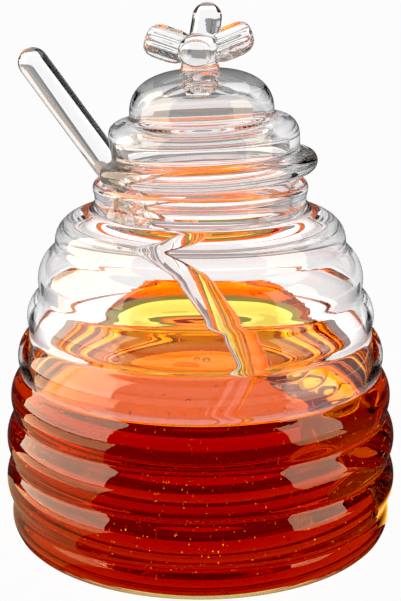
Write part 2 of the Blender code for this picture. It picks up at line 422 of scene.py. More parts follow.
def turning_tree() -> bpy.types.NodeTree:
    """Make the Geometry Nodes that turn an outline of edges about the Z axis into a closed wall.

    Returns:
        The node tree, with the inputs Outline, Points, Steps, Merge Distance and Finish.
    """
    tree = bpy.data.node_groups.new("Turn an outline", "GeometryNodeTree")
    tree.interface.new_socket("Outline", in_out="INPUT", socket_type="NodeSocketGeometry")
    tree.interface.new_socket("Points", in_out="INPUT", socket_type="NodeSocketInt")
    tree.interface.new_socket("Steps", in_out="INPUT", socket_type="NodeSocketInt")
    tree.interface.new_socket("Merge Distance", in_out="INPUT", socket_type="NodeSocketFloat")
    tree.interface.new_socket("Finish", in_out="INPUT", socket_type="NodeSocketMaterial")
    tree.interface.new_socket("Wall", in_out="OUTPUT", socket_type="NodeSocketGeometry")
    given = add_node(tree, "NodeGroupInput")
    rows = add_node(
        tree, "FunctionNodeIntegerMath", {"operation": "ADD"}, {0: given.outputs["Steps"], 1: 1}
    )
    grid = add_node(
        tree,
        "GeometryNodeMeshGrid",
        inputs={"Vertices X": rows.outputs[0], "Vertices Y": given.outputs["Points"]},
    )
    index = add_node(tree, "GeometryNodeInputIndex")
    along = add_node(
        tree,
        "FunctionNodeIntegerMath",
        {"operation": "MODULO"},
        {0: index.outputs[0], 1: given.outputs["Points"]},
    )
    row = add_node(
        tree,
        "FunctionNodeIntegerMath",
        {"operation": "DIVIDE_FLOOR"},
        {0: index.outputs[0], 1: given.outputs["Points"]},
    )
    turn = add_node(
        tree, "ShaderNodeMath", {"operation": "MULTIPLY"}, {0: row.outputs[0], 1: math.tau}
    )
    angle = add_node(
        tree, "ShaderNodeMath", {"operation": "DIVIDE"}, {0: turn.outputs[0], 1: given.outputs["Steps"]}
    )
    place = add_node(tree, "GeometryNodeInputPosition")
    outline_point = add_node(
        tree,
        "GeometryNodeSampleIndex",
        {"data_type": "FLOAT_VECTOR", "domain": "POINT"},
        {"Geometry": given.outputs["Outline"], "Index": along.outputs[0]},
    )
    tree.links.new(place.outputs[0], outline_point.inputs["Value"])
    turned_point = add_node(
        tree,
        "ShaderNodeVectorRotate",
        {"rotation_type": "Z_AXIS"},
        {"Vector": outline_point.outputs["Value"], "Angle": angle.outputs[0]},
    )
    moved = add_node(
        tree,
        "GeometryNodeSetPosition",
        inputs={"Geometry": grid.outputs["Mesh"], "Position": turned_point.outputs["Vector"]},
    )
    merged = add_node(
        tree,
        "GeometryNodeMergeByDistance",
        inputs={"Geometry": moved.outputs["Geometry"], "Distance": given.outputs["Merge Distance"]},
    )
    smooth = add_node(
        tree, "GeometryNodeSetShadeSmooth", inputs={"Geometry": merged.outputs["Geometry"]}
    )
    real = add_node(
        tree, "GeometryNodeRealizeInstances", inputs={"Geometry": smooth.outputs["Geometry"]}
    )
    dressed = add_node(
        tree,
        "GeometryNodeSetMaterial",
        inputs={"Geometry": real.outputs["Geometry"], "Material": given.outputs["Finish"]},
    )
    add_node(tree, "NodeGroupOutput", inputs={"Wall": dressed.outputs["Geometry"]})
    return tree


def bubble_tree() -> bpy.types.NodeTree:
    """Make the Geometry Nodes that strew bubbles in an upright cylinder, but not near a rod's axis.

    Returns:
        The node tree. Crowding is a power: the nearer to 0, the more bubbles float near the wall. Rarity is
        one too: the larger, the fewer large bubbles there are.
    """
    tree = bpy.data.node_groups.new("Strew bubbles", "GeometryNodeTree")
    tree.interface.new_socket("Base", in_out="INPUT", socket_type="NodeSocketGeometry")
    for name in ("Count", "Seed", "Segments", "Rings"):
        tree.interface.new_socket(name, in_out="INPUT", socket_type="NodeSocketInt")
    for name in ("Radius", "Crowding", "Bottom", "Top", "Smallest", "Largest", "Rarity", "Keep Out"):
        tree.interface.new_socket(name, in_out="INPUT", socket_type="NodeSocketFloat")
    for name in ("Rod Point", "Rod Way"):
        tree.interface.new_socket(name, in_out="INPUT", socket_type="NodeSocketVector")
    tree.interface.new_socket("Finish", in_out="INPUT", socket_type="NodeSocketMaterial")
    tree.interface.new_socket("Bubbles", in_out="OUTPUT", socket_type="NodeSocketGeometry")
    given = add_node(tree, "NodeGroupInput")

    def chance(offset: int) -> bpy.types.NodeSocket:
        """A random number from 0 to 1 for each bubble."""
        seed = add_node(
            tree, "FunctionNodeIntegerMath", {"operation": "ADD"}, {0: given.outputs["Seed"], 1: offset}
        )
        drawn = add_node(tree, "FunctionNodeRandomValue", {"data_type": "FLOAT"}, {"Seed": seed.outputs[0]})
        return drawn.outputs["Value"]

    def result(operation: str, first: object, second: object) -> bpy.types.NodeSocket:
        """The result of one operation on two values or sockets."""
        return add_node(tree, "ShaderNodeMath", {"operation": operation}, {0: first, 1: second}).outputs[0]

    out = result("MULTIPLY", result("POWER", chance(0), given.outputs["Crowding"]), given.outputs["Radius"])
    room = result("SUBTRACT", given.outputs["Top"], given.outputs["Bottom"])
    height = result("ADD", result("MULTIPLY", chance(1), room), given.outputs["Bottom"])
    spot = add_node(tree, "ShaderNodeCombineXYZ", inputs={"X": out, "Z": height})
    turned = add_node(
        tree,
        "ShaderNodeVectorRotate",
        {"rotation_type": "Z_AXIS"},
        {"Vector": spot.outputs["Vector"], "Angle": result("MULTIPLY", chance(2), math.tau)},
    )
    points = add_node(
        tree,
        "GeometryNodePoints",
        inputs={"Count": given.outputs["Count"], "Position": turned.outputs["Vector"]},
    )
    place = add_node(tree, "GeometryNodeInputPosition")
    away = add_node(
        tree,
        "ShaderNodeVectorMath",
        {"operation": "SUBTRACT"},
        {0: place.outputs[0], 1: given.outputs["Rod Point"]},
    )
    across = add_node(
        tree,
        "ShaderNodeVectorMath",
        {"operation": "CROSS_PRODUCT"},
        {0: away.outputs["Vector"], 1: given.outputs["Rod Way"]},
    )
    apart = add_node(tree, "ShaderNodeVectorMath", {"operation": "LENGTH"}, {0: across.outputs["Vector"]})
    near = result("LESS_THAN", apart.outputs["Value"], given.outputs["Keep Out"])
    kept = add_node(
        tree, "GeometryNodeDeleteGeometry", inputs={"Geometry": points.outputs[0], "Selection": near}
    )
    bubble = add_node(
        tree,
        "GeometryNodeMeshUVSphere",
        inputs={"Segments": given.outputs["Segments"], "Rings": given.outputs["Rings"], "Radius": 1.0},
    )
    spread = result("SUBTRACT", given.outputs["Largest"], given.outputs["Smallest"])
    size = result("MULTIPLY", result("POWER", chance(3), given.outputs["Rarity"]), spread)
    size = result("ADD", size, given.outputs["Smallest"])
    strewn = add_node(
        tree,
        "GeometryNodeInstanceOnPoints",
        inputs={"Points": kept.outputs["Geometry"], "Instance": bubble.outputs["Mesh"], "Scale": size},
    )
    smooth = add_node(
        tree, "GeometryNodeSetShadeSmooth", inputs={"Geometry": strewn.outputs["Instances"]}
    )
    real = add_node(
        tree, "GeometryNodeRealizeInstances", inputs={"Geometry": smooth.outputs["Geometry"]}
    )
    dressed = add_node(
        tree,
        "GeometryNodeSetMaterial",
        inputs={"Geometry": real.outputs["Geometry"], "Material": given.outputs["Finish"]},
    )
    add_node(tree, "NodeGroupOutput", inputs={"Bubbles": dressed.outputs["Geometry"]})
    return tree


def set_inputs(modifier: bpy.types.NodesModifier, values: dict) -> None:
    """Set a Geometry Nodes modifier's inputs.

    Args:
        modifier: The modifier, which has its node group.
        values: The values by the inputs' names.
    """
    for item in modifier.node_group.interface.items_tree:
        if item.item_type == "SOCKET" and item.in_out == "INPUT" and item.name in values:
            modifier[item.identifier] = values[item.name]


def linked(name: str, mesh: bpy.types.Mesh) -> bpy.types.Object:
    """Put a mesh in the scene.

    Args:
        name: The new object's name.
        mesh: Its mesh.

    Returns:
        The new object.
    """
    made = bpy.data.objects.new(name, mesh)
    bpy.context.scene.collection.objects.link(made)
    return made


def plain_mesh(source: bpy.types.Object, name: str, place: Matrix | None = None) -> bpy.types.Object:
    """Turn an object and its modifiers into a plain mesh object at the origin.

    Args:
        source: The object, which is removed.
        name: The new object's name.
        place: Where the mesh goes, as a matrix applied to it.

    Returns:
        The new object, with its place in its mesh.
    """
    graph = bpy.context.evaluated_depsgraph_get()
    mesh = bpy.data.meshes.new_from_object(source.evaluated_get(graph))
    mesh.name = name
    if place:
        mesh.transform(place)
    bpy.data.objects.remove(source)
    return linked(name, mesh)


class Lathe:
    """Turns outlines of (radius, height) in millimetres into closed walls."""

    MERGE_MM = 0.002

    def __init__(self) -> None:
        """Build the node tree once."""
        self.tree = turning_tree()

    def turn(
        self,
        name: str,
        outline: list[Point],
        steps: int,
        finish: bpy.types.Material,
        place: Matrix | None = None,
    ) -> bpy.types.Object:
        """Turn an outline.

        Args:
            name: The new object's name.
            outline: The outline, down the outside and up the inside, from the axis to the axis.
            steps: How many flats go round.
            finish: The wall's material.
            place: Where the mesh goes.

        Returns:
            The wall as a plain mesh object.
        """
        mesh = bpy.data.meshes.new(name + "_outline")
        mesh.from_pydata(
            [(radius * MM, 0.0, height * MM) for radius, height in outline],
            [(i, i + 1) for i in range(len(outline) - 1)],
            [],
        )
        source = linked(name + "_outline", mesh)
        modifier = source.modifiers.new("Turn", "NODES")
        modifier.node_group = self.tree
        values = {"Points": len(outline), "Steps": steps, "Finish": finish}
        values["Merge Distance"] = self.MERGE_MM * MM
        set_inputs(modifier, values)
        return plain_mesh(source, name, place)


def faces_out(piece: bpy.types.Object) -> bpy.types.Object:
    """Turn a closed piece's faces outwards.

    Args:
        piece: The piece.

    Returns:
        The same piece.
    """
    work = bmesh.new()
    work.from_mesh(piece.data)
    bmesh.ops.recalc_face_normals(work, faces=work.faces)
    if work.calc_volume(signed=True) < 0:
        bmesh.ops.reverse_faces(work, faces=work.faces)
    work.to_mesh(piece.data)
    work.free()
    return piece


class Join(Enum):
    """What two solids make of each other."""

    ADD = "UNION"
    CUT = "DIFFERENCE"


def joined(target: bpy.types.Object, join: Join, operand: bpy.types.Object) -> None:
    """Join an object to another or cut it out of it, and remove it.

    Args:
        target: The object that is changed.
        join: Whether it gains or loses.
        operand: What it gains or loses.
    """
    modifier = target.modifiers.new(join.name, "BOOLEAN")
    modifier.operation = join.value
    modifier.solver = "MANIFOLD"
    modifier.object = operand
    graph = bpy.context.evaluated_depsgraph_get()
    mesh = bpy.data.meshes.new_from_object(target.evaluated_get(graph))
    target.modifiers.clear()
    target.data = mesh
    bpy.data.objects.remove(operand)


def refinished(piece: bpy.types.Object, finish: bpy.types.Material, chosen: Callable) -> None:
    """Give some of a piece's faces another finish.

    Args:
        piece: The piece, whose faces all have its first finish.
        finish: The other finish.
        chosen: Tells from a face's middle and its normal, in millimetres, whether it gets the other finish.
    """
    piece.data.materials.append(finish)
    other = len(piece.data.materials) - 1
    for face in piece.data.polygons:
        if chosen(face.center / MM, face.normal):
            face.material_index = other


def edges_at(piece: bpy.types.Object, angle: float) -> None:
    """Shade a piece smooth, but for its sharp edges.

    Args:
        piece: The piece.
        angle: From how many degrees on an edge stays sharp.
    """
    piece.data.shade_smooth()
    piece.data.set_sharp_from_angle(angle=math.radians(angle))


def dress(piece: bpy.types.Object, slot: Slot, *nodes: str) -> None:
    """Fix a finished piece to the part.

    Args:
        piece: The finished piece.
        slot: The record's slot for the piece; it is not used.
        *nodes: The CAD nodes that it stands for.
    """
    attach(piece, BODY)
    if nodes:
        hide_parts(*nodes)
    triangles = sum(len(face.vertices) - 2 for face in piece.data.polygons)
    log.info("%s: %d triangles, for %s", piece.name, triangles, ", ".join(nodes) or "no node")


@dataclass
class Jar:
    """The blown jar: eight ribs between its creases, a round shoulder and a short neck with a lip."""

    creases: tuple[Point, ...] = (
        (75.2, 36.9),
        (63.7, 41.0),
        (53.6, 43.5),
        (43.2, 46.2),
        (31.9, 48.0),
        (20.3, 49.0),
        (8.4, 48.8),
    )
    rib_bulge: float = 2.1
    base_radius: float = 48.7
    base_bulge: float = 1.2
    heel: float = 0.8
    shoulder_radius: float = 36.9
    shoulder_rise: float = 7.1
    shoulder_centre: float = 77.2
    neck_radius: float = 26.7
    neck_bottom: float = 86.6
    lip_bottom: float = 88.5
    lip_radius: float = 27.3
    lip_crest: float = 90.0
    lip_top: float = 91.6
    lip_round: float = 0.6
    bore: float = 25.5
    bore_bottom: float = 85.6
    inner_creases: tuple[tuple[float, float, float], ...] = (
        (80.0, 32.7, 0.1),
        (74.8, 35.3, 1.3),
        (63.4, 39.7, 2.3),
        (53.6, 42.3, 1.9),
        (43.2, 44.6, 2.1),
        (31.9, 46.4, 2.1),
        (20.3, 47.4, 2.1),
        (8.4, 47.2, 2.1),
    )
    floor: float = 1.2
    floor_round: float = 3.0
    floor_rise: float = 2.6
    pitch: float = 0.5
    neck_passes: int = 3
    outer_passes: int = 6
    inner_passes: int = 9
    shoulder_turn: float = 80.0
    shoulder_steps: int = 16
    rib_steps: int = 14
    base_steps: int = 12
    inner_steps: int = 12
    corner_steps: int = 10
    steps: int = 180
    under_floor: float = 1.0
    floor_flat: float = 0.9
    smooth_to: float = 35.0

    def turn_at(self, step: int) -> float:
        """Turn a step round the jar to degrees.

        Args:
            step: How many of the jar's flats it is from the back.

        Returns:
            Degrees from the back, from -180 to 180.
        """
        return math.degrees(math.remainder(step * math.tau / self.steps, math.tau))

    def outside(self) -> list[Point]:
        """The outer outline, from the crown of the lip down to the edge of the base."""
        crown = (self.bore + self.lip_radius) / 2
        side = self.lip_radius - self.lip_round / 2
        points = [(crown, self.lip_top), (side, self.lip_top - self.lip_round)]
        points.append((self.lip_radius, self.lip_crest))
        points += [(side, self.lip_bottom + self.lip_round / 2), (self.neck_radius, self.lip_bottom)]
        points.append((self.neck_radius, self.neck_bottom))
        neck = softened(points, self.pitch, self.neck_passes)
        width = self.shoulder_radius - self.neck_radius
        points = [neck[-1]]
        centre = (self.neck_radius, self.shoulder_centre)
        points += ellipse(centre, (width, self.shoulder_rise), self.shoulder_turn, 0, self.shoulder_steps)
        top_height, top_radius = self.creases[0]
        points.append((top_radius, top_height))
        for (z0, r0), (z1, r1) in zip(self.creases, self.creases[1:]):
            points += arc((r0, z0), (r1, z1), self.rib_bulge, self.rib_steps)
        height, radius = self.creases[-1]
        points += arc((radius, height), (self.base_radius, self.heel), self.base_bulge, self.base_steps)
        ribs = softened(points, self.pitch, self.outer_passes)
        return neck + ribs[1:] + [(self.base_radius - self.heel, 0.0)]

    def inside(self) -> list[Point]:
        """The inner outline, from the crown of the lip down to the edge of the floor."""
        crown = (self.bore + self.lip_radius) / 2
        points = [(crown, self.lip_top), (self.bore, self.lip_top - self.lip_round)]
        points.append((self.bore, self.bore_bottom))
        neck = softened(points, self.pitch, self.neck_passes)
        points = [neck[-1]]
        for height, radius, bulge in self.inner_creases:
            points += arc(points[-1], (radius, height), bulge, self.inner_steps)
        ribs = softened(points, self.pitch, self.inner_passes)
        centre = (points[-1][0] - self.floor_round, self.floor + self.floor_rise)
        corner = ellipse(centre, (self.floor_round, self.floor_rise), 0, -90, self.corner_steps)
        foot = softened([points[-1], *corner, (0.0, self.floor)], self.pitch, self.neck_passes)
        return neck + ribs[1:] + foot[1:]

    def build(
        self,
        lathe: Lathe,
        finish: bpy.types.Material,
        wet_finish: bpy.types.Material,
        wet_to: Callable[[float], float],
    ) -> bpy.types.Object:
        """Make the jar.

        Args:
            lathe: What turns its outline.
            finish: Its glass.
            wet_finish: Its glass where honey wets it.
            wet_to: Tells how high the honey wets its inside at a turn in degrees from the back.

        Returns:
            The jar.
        """
        up = self.inside()[::-1]
        outline = up + self.outside()[1:] + [(0.0, 0.0)]
        jar = faces_out(lathe.turn("glass_jar", outline, self.steps, finish))
        wets = [wet_to(self.turn_at(step)) for step in range(self.steps)]

        def is_wet(at: Vector, out: Vector) -> bool:
            """Whether a face lies against the honey: below its edge, and facing the axis or up."""
            step = round(math.atan2(at.x, at.y) * self.steps / math.tau) % self.steps
            on_floor = at.z > self.under_floor and out.z > self.floor_flat
            return at.z < wets[step] and (out.xy.dot(at.xy) < 0 or on_floor)

        refinished(jar, wet_finish, is_wet)
        edges_at(jar, self.smooth_to)
        dress(jar, Slot.JAR, "jar")
        return jar


@dataclass
class Dipper:
    """The solid glass dipper: a rod with a round end, and a head of rings that honey clings to."""

    top: tuple[float, float, float] = (-41.2, 0.0, 120.7)
    lean: float = 35.55
    rod_radius: float = 3.8
    rod_end: float = 94.5
    head_start: float = 98.5
    rings: tuple[float, ...] = (6.6, 8.2, 9.1, 9.2, 8.6, 7.0)
    grooves: tuple[float, ...] = (4.2, 5.4, 6.1, 6.5, 6.5, 5.8, 3.6)
    ring_pitch: float = 6.8
    tip: float = 1.5
    pitch: float = 0.4
    passes: int = 3
    end_steps: int = 14
    ring_steps: int = 14
    steps: int = 96
    smooth_to: float = 50.0

    def outline(self) -> list[Point]:
        """The outline down its axis, from its top end to its tip."""
        points = ellipse((0.0, 0.0), (self.rod_radius, self.rod_radius), 90, 0, self.end_steps)
        points.append((self.rod_radius, -self.rod_end))
        points.append((self.grooves[0], -self.head_start))
        for index, crest in enumerate(self.rings):
            start = (self.grooves[index], -(self.head_start + index * self.ring_pitch))
            end = (self.grooves[index + 1], start[1] - self.ring_pitch)
            points += arc(start, end, crest - (start[0] + end[0]) / 2, self.ring_steps)
        points.append((0.0, points[-1][1] - self.tip))
        rounded = softened(points, self.pitch, self.passes)
        return [(0.0, rounded[0][1]), *rounded[1:-1], (0.0, rounded[-1][1])]

    def place(self) -> Matrix:
        """Where the dipper leans."""
        lean = Matrix.Rotation(-math.radians(self.lean), 4, "Y")
        return Matrix.Translation(Vector(self.top) * MM) @ lean

    def build(
        self, lathe: Lathe, finish: bpy.types.Material, wet_finish: bpy.types.Material, wet_to: float
    ) -> bpy.types.Object:
        """Make the dipper.

        Args:
            lathe: What turns its outline.
            finish: Its glass.
            wet_finish: Its glass where honey wets it.
            wet_to: How high the honey wets it.

        Returns:
            The dipper.
        """
        dipper = faces_out(lathe.turn("glass_dipper", self.outline(), self.steps, finish, self.place()))
        refinished(dipper, wet_finish, lambda at, out: at.z < wet_to)
        edges_at(dipper, self.smooth_to)
        dress(dipper, Slot.DIPPER, "dipper")
        return dipper

    def cutter(self, lathe: Lathe, finish: bpy.types.Material, reach: float) -> bpy.types.Object:
        """The room that the dipper takes in the honey, less what the honey reaches into its glass.

        Args:
            lathe: What turns its outline.
            finish: The honey.
            reach: How far the honey reaches into the glass, in millimetres.

        Returns:
            The cutter.
        """
        smaller = inset(self.outline(), reach)
        smaller[0] = (0.0, smaller[0][1])
        smaller[-1] = (0.0, smaller[-1][1])
        return faces_out(lathe.turn("dipper_room", smaller, self.steps, finish, self.place()))


@dataclass
class Honey:
    """The honey, which wets the glass, climbs it a little and clings to the back wall as a film."""

    jar: Jar
    level: float = 41.6
    reach: float = 0.06
    climb: float = 1.0
    climb_width: float = 2.2
    climb_power: float = 2.6
    film_height: float = 14.0
    film_thickness: float = 6.8
    film_fillet: float = 3.0
    film_turn: float = 4.0
    film_half: float = 26.0
    film_fade: float = 26.0
    film_waves: float = 0.08
    film_wave_turn: float = 41.0
    flat_steps: int = 22
    rise_steps: int = 10
    side_steps: int = 34
    side_depth: float = 1.4
    skin_depth: float = 0.02
    skin_slope: float = 0.2
    air_bend: float = 1.49
    glass_bend: float = 1.0
    smooth_to: float = 40.0
    wall: list[Point] = field(init=False)

    def __post_init__(self) -> None:
        """Keep the wall that the honey lies against."""
        self.wall = inset(self.jar.inside(), -self.reach)

    def wall_radius(self, height: float) -> float:
        """Measure the wall.

        Args:
            height: Where, above the base.

        Returns:
            The wall's radius there.
        """
        for (r0, z0), (r1, z1) in zip(self.wall, self.wall[1:]):
            if z1 <= height <= z0:
                return r0 + (r1 - r0) * (height - z0) / (z1 - z0)
        return self.wall[-1][0]

    def film_share(self, turn: float) -> float:
        """Tell how much film there is. It is full over film_half degrees each way and fades over film_fade.

        Args:
            turn: Where, in degrees from the back.

        Returns:
            A share of the film's height, from 0 to 1.
        """
        away = abs(turn - self.film_turn) - self.film_half
        share = min(1.0, max(0.0, 1 - away / self.film_fade))
        wave = 1 - self.film_waves * (1 + math.sin(turn * math.tau / self.film_wave_turn)) / 2
        return share * share * (3 - 2 * share) * wave

    def edge_height(self, turn: float) -> float:
        """Tell how high the honey wets the wall.

        Args:
            turn: Where, in degrees from the back.

        Returns:
            The height above the base.
        """
        share = self.film_share(turn)
        return self.level + self.climb + (self.film_height - self.climb) * share

    def outline_at(self, turn: float) -> list[Point]:
        """From the middle of the surface out to the wall, and down the wall to the middle of the floor.

        At the wall the surface rises by a clear edge, by a film or by something between them. The film has
        three parts of as many points: a fillet, a straight side and a round top.

        Args:
            turn: Where the outline stands, in degrees from the back.

        Returns:
            The points, always the same number of them.
        """
        share = self.film_share(turn)
        low = self.level
        thick = self.film_thickness
        fillet = self.film_fillet
        steps = self.rise_steps
        shares = [k / (3 * steps) for k in range(3 * steps + 1)]
        clear = [(self.climb_width * (1 - up), self.climb * up**self.climb_power) for up in shares]
        film = ellipse((thick + fillet, fillet), (fillet, fillet), -90, -180, steps)
        top = self.film_height - thick
        film += [(thick, fillet + (top - fillet) * k / steps) for k in range(1, steps + 1)]
        film += ellipse((0.0, top), (thick, thick), 0, 90, steps)[1:]
        rise = []
        for (off, up), (film_off, film_up) in zip(clear, film):
            rise.append((off + (film_off - off) * share, low + up + (film_up - up) * share))
        foot = self.wall_radius(low) - rise[0][0]
        points = [(foot * k / self.flat_steps, low) for k in range(self.flat_steps)]
        points += [(self.wall_radius(height) - off, height) for off, height in rise]
        edge = rise[-1][1]
        bottom = low - self.side_depth
        for k in range(1, self.side_steps + 1):
            height = edge + (bottom - edge) * k / self.side_steps
            points.append((self.wall_radius(height), height))
        below = [point for point in self.wall if point[1] < bottom - self.jar.pitch / 2]
        return points + below[:-1] + [(0.0, below[-1][1])]

    def body(self, finish: bpy.types.Material) -> bpy.types.Object:
        """The honey without the dipper's room, as a closed mesh object."""
        steps = self.jar.steps
        verts = []
        for step in range(steps):
            turn = math.tau * step / steps
            verts += [
                (radius * MM * math.sin(turn), radius * MM * math.cos(turn), height * MM)
                for radius, height in self.outline_at(self.jar.turn_at(step))
            ]
        count = len(verts) // steps
        faces = []
        for step in range(steps):
            here, there = step * count, (step + 1) % steps * count
            faces += [(here + k, here + k + 1, there + k + 1, there + k) for k in range(count - 1)]
        mesh = bpy.data.meshes.new("amber_honey")
        mesh.from_pydata(verts, [], faces)
        mesh.materials.append(finish)
        work = bmesh.new()
        work.from_mesh(mesh)
        bmesh.ops.remove_doubles(work, verts=work.verts, dist=Lathe.MERGE_MM * MM)
        work.to_mesh(mesh)
        work.free()
        return faces_out(linked("amber_honey", mesh))

    def build(self, lathe: Lathe, dipper: Dipper, finish: bpy.types.Material) -> bpy.types.Object:
        """Make the honey round the dipper.

        Args:
            lathe: What turns the dipper's room.
            dipper: The dipper that stands in it.
            finish: The honey.

        Returns:
            The honey.
        """
        honey = self.body(finish)
        joined(honey, Join.CUT, dipper.cutter(lathe, finish, self.reach))
        low = (self.level - self.skin_depth) * MM
        bends = honey.data.attributes.new(ClearHoney.BEND, "FLOAT", "FACE")
        for face in honey.data.polygons:
            side = face.center.xy
            skin = face.center.z > low and face.normal.xy.dot(side) < side.length * self.skin_slope
            bends.data[face.index].value = self.air_bend if skin else self.glass_bend
        edges_at(honey, self.smooth_to)
        dress(honey, Slot.HONEY, "honey")
        return honey


@dataclass
class Bubbles:
    """The air in the honey: fine bubbles all through it, and a few larger ones under its surface."""

    count: int = 2200
    seed: int = 11
    segments: int = 8
    rings: int = 5
    spread: float = 42.5
    crowding: float = 0.2
    bottom: float = 3.5
    top: float = 40.8
    smallest: float = 0.12
    largest: float = 0.28
    rarity: float = 2.5
    keep_out: float = 10.2
    floating: tuple[tuple[float, float, float], ...] = (
        (-1.0, 9.6, 0.9),
        (1.6, 9.1, 1.2),
        (-0.4, -0.6, 1.1),
        (2.2, -1.4, 0.7),
        (-1.4, -8.2, 0.8),
        (1.0, -8.0, 0.9),
        (9.0, 26.0, 1.3),
        (-14.0, -14.0, 0.6),
        (-9.0, -24.0, 0.5),
        (-3.0, -27.0, 0.7),
        (4.0, -19.0, 0.5),
        (-21.0, 2.0, 0.7),
    )
    cover: float = 0.12
    floating_segments: int = 24
    floating_rings: int = 16

    def fine(self, dipper: Dipper, finish: bpy.types.Material) -> None:
        """Make the fine bubbles.

        Args:
            dipper: The dipper, round which none of them float.
            finish: Their air.
        """
        source = linked("fine_bubbles_base", bpy.data.meshes.new("fine_bubbles_base"))
        modifier = source.modifiers.new("Strew", "NODES")
        modifier.node_group = bubble_tree()
        way = dipper.place().to_3x3() @ Vector((0.0, 0.0, 1.0))
        values = {"Count": self.count, "Seed": self.seed, "Segments": self.segments, "Rings": self.rings}
        values |= {"Radius": self.spread * MM, "Bottom": self.bottom * MM, "Top": self.top * MM}
        values["Crowding"] = self.crowding
        values |= {"Smallest": self.smallest * MM, "Largest": self.largest * MM, "Rarity": self.rarity}
        values |= {"Keep Out": self.keep_out * MM, "Rod Point": Vector(dipper.top) * MM, "Rod Way": way}
        values["Finish"] = finish
        set_inputs(modifier, values)
        dress(plain_mesh(source, "fine_bubbles"), Slot.HONEY)

    def under_surface(self, lathe: Lathe, level: float, finish: bpy.types.Material) -> None:
        """Make the bubbles that have come up.

        Args:
            lathe: What turns them.
            level: The honey's level.
            finish: Their air.
        """
        work = bmesh.new()
        for x, y, radius in self.floating:
            place = Matrix.Translation(Vector((x, y, level - radius - self.cover)) * MM)
            outline = ellipse((0.0, 0.0), (radius, radius), 90, -90, self.floating_rings)
            bubble = lathe.turn("bubble", outline, self.floating_segments, finish, place)
            work.from_mesh(bubble.data)
            bpy.data.objects.remove(bubble)
        mesh = bpy.data.meshes.new("surface_bubbles")
        work.to_mesh(mesh)
        work.free()
        mesh.materials.append(finish)
        bubbles = faces_out(linked("surface_bubbles", mesh))
        bubbles.data.shade_smooth()
        dress(bubbles, Slot.HONEY)


